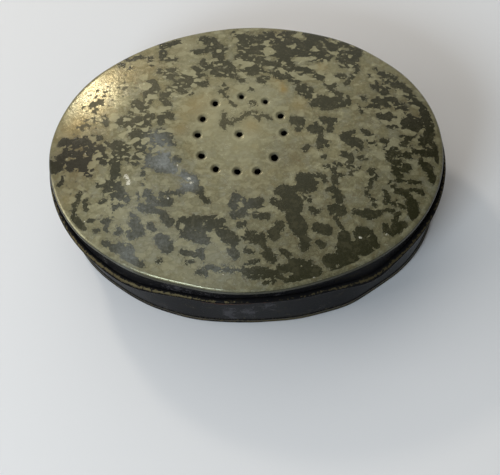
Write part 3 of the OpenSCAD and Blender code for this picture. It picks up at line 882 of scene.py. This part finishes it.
def skirtFields(polar, section):
    outward, height = section[:, :1], section[:, 1:]
    angle = np.degrees(np.arctan2(height - curlHeight, outward - skirtIn - skirtShape["curl"]))
    onRoll = (outward > skirtIn + sheet + 0.02) & (height < curlHeight + skirtShape["curl"] + 0.01)
    ridge = onRoll * bell(angle, *skirtShape["rollRidge"])
    low = onRoll * bell(angle, *skirtShape["rollFoot"])
    face = (outward > skirtIn + sheet - 0.01) & (height > curlHeight) & ~onRoll
    return {
        "worn": ridge * (0.5 + pushed(polar, skirtShape["ridgeWear"])),
        "rust": low * pushed(polar, skirtShape["rust"]),
        "scuff": face * (0.1 + pushed(polar, skirtShape["scuffs"])),
        "under": (outward < skirtIn + 0.05) * 1.0,
    }


rollMiddle = (skirtIn + skirtShape["curl"], curlHeight)
insideRows, outsideRows = skirtShape["bandRows"]
outsideSteps, insideSteps = skirtShape["rollSteps"]
skirtSection = np.concatenate([
    np.stack([np.full(insideRows, skirtIn), np.linspace(skirtTop, curlHeight, insideRows + 1)[:-1]], 1),
    arc(rollMiddle, skirtShape["curl"], 180, skirtShape["rollEnd"], outsideSteps),
    arc(rollMiddle, skirtShape["curl"] - sheet, skirtShape["rollEnd"], 180, insideSteps),
    np.stack([np.full(outsideRows, skirtIn + sheet),
              np.linspace(curlHeight, skirtTop, outsideRows + 1)[1:]], 1)])
sweepPiece("lidSkirt", skirtSection, skirtBend, skirtFields, body="lid", finish=skirtJapan,
           slot="japanned_tin", nodes=["lid_skirt"])

# Body wall, lapped inside at the back
wallShape = {
    "tabHalf": 2.0,
    "flattened": [(-94, 15, -0.4), (-80, 8, -0.2), (-113, 8, 0.15), (-50, 8, 0.5), (-131, 11, 0.3),
                  (60, 20, 0.15), (150, 18, -0.15)],
    # angle, width, height, reach up and down, share
    "scuffs": [(-97, 3.4, 6, 6, 0.85), (-89, 3.2, 7.5, 4, 0.8), (-81, 2.6, 11, 3.5, 0.75),
               (-125, 5, 2, 3, 0.4), (-60, 6, 3, 2.5, 0.3), (75, 14, 6, 5, 0.35), (150, 10, 5, 4, 0.3)],
    "edgeRound": 0.1,
    "rows": 26,
    "footWear": (3.2, 1.2),  # heights from none to full
    "topWear": (1.5, 0.3),   # the same, down from the top
}
wallTop, wallFoot = wallHigh[2], wallLow[2]


def potTrue(polar, height):
    # follows the lid at the top, and its own dents lower down
    up = ramp(height, wallFoot, curlHeight)
    return up * lidTrue(polar) + (1 - up) * (pushed(polar, wallShape["flattened"]) + ripple(polar, 9))


def wallBend(polar, outward, height):
    onTab = (outward < -sheet + 0.02) & (height < wallTop - sheet)
    tab = np.where(onTab, sheet * backTab(polar, wallShape["tabHalf"]), 0)
    return outward + potTrue(polar, height) - tab, height


def wallFields(polar, section):
    inner, height = section[:, :1] < -sheet / 2, section[:, 1:]
    footWear = ramp(height, *wallShape["footWear"])
    topWear = ramp(wallTop - height, *wallShape["topWear"])
    scuffs = sum(pushed(polar, [(angle, width, share)]) * bell(height, level, reach)
                 for angle, width, level, reach, share in wallShape["scuffs"])
    return {
        "worn": np.where(inner, 0, 0.35 * footWear + 0.75 * topWear + 0.12),
        "rust": np.where(inner, 0.1, 0.3 * topWear),
        "scuff": np.where(inner, 0, 0.1 + scuffs),
        "under": inner * 1.0,
    }


soft, wallRows = wallShape["edgeRound"], wallShape["rows"]
wallSection = np.concatenate([
    np.stack([np.zeros(wallRows), np.linspace(wallFoot, wallTop - soft, wallRows)], 1),
    [[-soft * 0.3, wallTop - soft * 0.3], [-soft, wallTop], [-sheet + soft, wallTop],
     [-sheet + soft * 0.3, wallTop - soft * 0.3]],
    np.stack([np.full(wallRows, -sheet), np.linspace(wallTop - soft, wallFoot, wallRows)], 1)])
sweepPiece("bodyWall", wallSection, wallBend, wallFields, body="pot", finish=wallJapan,
           slot="japanned_tin", nodes=["body_wall"])

# Bottom plate with its turned-up flange
plateShape = {
    "bend": 1.0,         # outside radius of the bend, mm
    "rings": 20,         # rows from the bend in to the middle
    "eased": 0.08,       # rounding of the flange's edge
    "footWear": [(-75, 14, 0.45), (-40, 20, 0.2), (-110, 8, 0.15)],
    "flangeReach": 0.4,  # of the wear down from the flange's edge, mm
}
plateOut, flangeTop = plateHigh[0] - halfLength, plateHigh[2]


def plateFields(points, under):
    x, y, z = points.T
    outside = outwardOf(x, y) > -1
    flangeWear = 0.3 * bell(z, flangeTop, plateShape["flangeReach"])
    footWear = pushed(np.arctan2(y, x), plateShape["footWear"])
    return {
        "worn": np.where(outside, flangeWear + 0.12 + footWear, 0.42) * (1 - under),
        "rust": 0.22 + 0.1 * under,
        "scuff": np.where(outside, 0.25, 0.45),
        "under": under,
    }


def makePlate():
    # the flange and bend are rows round the oval, and the flat runs in to the middle
    bend, eased = plateShape["bend"], plateShape["eased"]
    flat = np.linspace(1, 0.02, plateShape["rings"])[1:, None]
    layers = []
    for thick, side in ((0.0, -1), (sheet, 1)):
        lip = [[plateOut - thick + side * eased, flangeTop], [plateOut - thick, flangeTop - 0.1]]
        outline = np.concatenate([lip, arc((plateOut - bend, bend), bend - thick, 0, -90, 10)])
        height = outline[:, 1:]
        x, y = ovalRing(turns, outline[:, :1] + potTrue(outlinePolar(), height))
        x, y = np.concatenate([x, flat * x[-1]]), np.concatenate([y, flat * y[-1]])
        z = np.broadcast_to(np.concatenate([height, np.full_like(flat, thick)]), x.shape)
        layers.append(np.concatenate([np.stack([x, y, z], -1).reshape(-1, 3), [[0, 0, thick]]]))
    rows, columns = x.shape
    hub = rows * columns
    count = hub + 1
    fan = hubFan(hub, np.arange(hub - columns, hub))
    first = np.arange(columns)
    second = np.roll(first, -1)
    joining = np.stack([first, second, second + count, first + count], 1)
    faces = bothSides(gridFaces(rows, columns, False).tolist() + fan.tolist(), count, joining.tolist())
    points = np.concatenate(layers)
    under = (np.arange(len(points)) >= count).astype(float)
    makePiece("bottomPlate", points, faces, body="pot", finish=plateJapan, slot="japanned_tin",
              nodes=["bottom_plate"], fields=plateFields(points, under))


makePlate()

# Solder: the fillet round the bottom, the corner under the lid's bend and the two seams
solderShape = {
    "fillet": 1.4,
    "hair": 0.02,           # a hair's breadth off the plate, and into the wall and the skirt
    "lumps": (0.18, 0.12),  # share of the fillet in long and in short lumps
    "seamProud": 0.07,
    "lidSeamSet": 0.2,      # the lid's bead is set in by this from the frame's line
    "seamRows": 60,
    "seamWander": 0.02,     # sideways step from row to row, mm
    "seamUneven": 0.18,     # share of its width
    # section of a seam, in shares of its half width and of how proud it stands
    "seamAcross": np.array([-1.25, -0.9, -0.4, 0, 0.4, 0.9, 1.25, 1.1, 0, -1.1]),
    "seamRise": np.array([-0.12, 0.3, 0.8, 1, 0.8, 0.3, -0.12, -2.0, -2.2, -2.0]),
}


def plain(polar, section):
    return {}


def filletBend(polar, outward, height):
    long, short = solderShape["lumps"]
    lump = 1 + long * np.sin(7 * polar + 1) * np.sin(17 * polar) + short * np.sin(29 * polar + 2)
    inward = (outward + sheet) * np.where(outward < -sheet, lump, 1)
    above = (height - sheet) * np.where(height > sheet, lump, 1)
    return np.where(outward < -sheet, inward - sheet, outward) + potTrue(polar, height), sheet + above


fillet, hair = solderShape["fillet"], solderShape["hair"]
filletSection = np.concatenate([
    [[-sheet + hair, sheet + hair], [-sheet - fillet, sheet + hair]],
    arc((-sheet - fillet, sheet + fillet), fillet, -82, -8, 10),
    [[-sheet + hair, sheet + fillet]]])
sweepPiece("bottomSolder", filletSection, filletBend, plain, body="pot", finish=dullSolder,
           slot="solder", nodes=["bottom_solder"])


def cornerBend(polar, outward, height):
    return outward + lidTrue(polar), height + 0.05 * np.sin(13 * polar) * (height < skirtTop + 0.1)


bendIn = lidBend - sheet
cornerReach = math.degrees(math.acos((skirtIn - lidOut + lidBend) / bendIn))
cornerSection = np.concatenate([
    arc((lidOut - lidBend, lidEdge), bendIn - 0.01, 4, cornerReach + 14, 8),
    [[skirtIn - 0.12, skirtTop - 0.25], [skirtIn + hair, skirtTop - 0.5]]])
sweepPiece("lidSolder", cornerSection, cornerBend, plain, body="lid", finish=dullSolder,
           slot="solder", nodes=["lid_solder"])


def seamPiece(name, low, high, lift, shape, body, node, seed):
    # an uneven bead down the back, over a solder line of the frame
    middleX, half = (low[0] + high[0]) / 2, (high[0] - low[0]) / 2
    across, rise = solderShape["seamAcross"], solderShape["seamRise"]
    heights = np.linspace(low[2], high[2], solderShape["seamRows"])
    draw = np.random.default_rng(seed)
    wander = np.cumsum(draw.normal(0, solderShape["seamWander"], len(heights)))
    wander -= np.linspace(wander[0], wander[-1], len(heights))
    rows = []
    for height, side in zip(heights, wander):
        x = middleX + side + across * half * (1 + solderShape["seamUneven"] * draw.normal())
        turn = np.pi / 2 - np.arcsin(x / sideRadius)
        outward = lift + rise * solderShape["seamProud"] + shape(np.full_like(x, np.pi / 2), height)
        rows.append(np.stack([*ovalRing(turn, outward), np.full_like(x, height)], -1))
    points = np.concatenate(rows)
    columns = len(across)
    faces = gridFaces(len(rows), columns, False).tolist()
    faces.append(list(range(columns))[::-1])
    faces.append([(len(rows) - 1) * columns + k for k in range(columns)])
    ridge = np.tile(0.45 * np.clip(rise, 0, 1), len(rows))
    makePiece(name, points, faces, body=body, finish=rubbedSeam, slot="solder", nodes=[node],
              fields={"worn": ridge})


seamPiece("bodySeamSolder", wallSeamLow, wallSeamHigh, 0.0, potTrue, "pot", "body_seam_solder", 21)
lidSeamOut = lidSeamHigh[1] - halfWidth - solderShape["lidSeamSet"]
seamPiece("lidSeamSolder", lidSeamLow, lidSeamHigh, lidSeamOut, lambda polar, height: lidTrue(polar),
          "lid", "lid_seam_solder", 22)
print("pieces made")

# Camera at the photograph's angle
view = {
    "aim": (0.45, -14.13, 8.0),   # mm
    "distance": 300.0,
    "elevation": 66.53,
    "azimuth": 8.1,
    "roll": -8.15,
    "focalPixels": 1294.6,
    "imageWidth": 500,
    "sensor": 36.0,
}


def makeCamera():
    rise, swing = math.radians(view["elevation"]), math.radians(view["azimuth"])
    back = Vector((math.sin(swing) * math.cos(rise), -math.cos(swing) * math.cos(rise), math.sin(rise)))
    right = (-back).cross(Vector((0, 0, 1))).normalized()
    up = right.cross(-back)
    roll = math.radians(view["roll"])
    turnedRight = math.cos(roll) * right + math.sin(roll) * up
    turnedUp = math.cos(roll) * up - math.sin(roll) * right
    data = bpy.data.cameras.new("camera")
    data.sensor_width = view["sensor"]
    data.lens = view["focalPixels"] * view["sensor"] / view["imageWidth"]
    data.clip_start, data.clip_end = 0.01, 20
    camera = bpy.data.objects.new("camera", data)
    bpy.context.scene.collection.objects.link(camera)
    spot = (Vector(view["aim"]) + back * view["distance"]) * mm
    facing = Matrix((turnedRight, turnedUp, back)).transposed().to_4x4()
    camera.matrix_world = Matrix.Translation(spot) @ facing
    bpy.context.scene.camera = camera


makeCamera()

# Floor, soft lights and surroundings
studio = {
    "floor": (0.78, 0.79, 0.82, 1),
    "floorDark": (0.7566, 0.7663, 0.7954, 1),
    "floorHalf": 1.5,      # m
    "floorDrop": 0.00005,  # m, so that the floor and the pot's foot don't share a face
    "lights": {  # direction from the pot, distance m, width m, height m, watts, colour
        "window": ((-0.464, 0.671, 0.579), 0.45, 0.043, 0.039, 0.385, (1.0, 0.90, 0.75)),
        "wall": ((-0.92, -0.10, 0.38), 0.55, 0.35, 0.35, 1.3, (1.0, 0.98, 0.94)),
        "frontLamp": ((-0.40, -0.66, 0.64), 0.8, 0.26, 0.26, 2.65, (0.79, 0.91, 1.0)),
    },
    "sky": 0.17,
    "skyColour": (1.0, 0.97, 0.90, 1),
    "panels": {  # soft glows in the sky: direction, cosines at the edge and the core, strength
        "overhead": ((-0.20, 0.25, 0.95), 0.86, 0.985, 0.60),
        "back": ((-0.10, 0.88, 0.475), 0.72, 0.97, 0.8),
        "left": ((-0.72, 0.28, 0.63), 0.72, 0.95, 0.35),
    },
}


def makeStudio():
    finish, start, shader = newFinish("paleFloor", {"Roughness": 0.8, "Specular IOR Level": 0.2})
    place = start.node("ShaderNodeTexCoord", out="Object")
    tone = place.grain(30.0, 2.0, 1.0) * 0.06 + 0.5
    wireUp(shader, {"Base Color": tone.over(studio["floor"], studio["floorDark"])})
    mesh = bpy.data.meshes.new("floor")
    half, level = studio["floorHalf"], -studio["floorDrop"]
    corners = [(-half, -half, level), (half, -half, level), (half, half, level), (-half, half, level)]
    mesh.from_pydata(corners, [], [(0, 1, 2, 3)])
    floor = bpy.data.objects.new("floor", mesh)
    mesh.materials.append(finish)
    bpy.context.scene.collection.objects.link(floor)

    for name, (toward, distance, width, height, watts, colour) in studio["lights"].items():
        data = bpy.data.lights.new(name, "AREA")
        data.shape = "RECTANGLE"
        data.size, data.size_y = width, height
        data.energy = watts
        data.color = colour
        lamp = bpy.data.objects.new(name, data)
        direction = Vector(toward).normalized()
        lamp.location = direction * distance
        lamp.rotation_mode = "QUATERNION"
        lamp.rotation_quaternion = (-direction).to_track_quat("-Z", "Y")
        bpy.context.scene.collection.objects.link(lamp)

    world = bpy.data.worlds.new("studio")
    bpy.context.scene.world = world
    world.use_nodes = True
    sky = Wire(world.node_tree)
    backdrop = world.node_tree.nodes["Background"]
    seen = sky.node("ShaderNodeTexCoord", out="Generated")
    glow = sky.node("ShaderNodeValue")
    glow.socket.default_value = studio["sky"]
    for toward, edge, core, strength in studio["panels"].values():
        facing = sky.node("ShaderNodeVectorMath", {"operation": "DOT_PRODUCT"},
                          {0: seen, 1: Vector(toward).normalized()}, "Value")
        glow = glow + facing.ease(edge, core) * strength
    backdrop.inputs["Color"].default_value = studio["skyColour"]
    world.node_tree.links.new(glow.socket, backdrop.inputs["Strength"])


makeStudio()
bpy.context.scene.view_settings.view_transform = "Standard"
print("studio made")
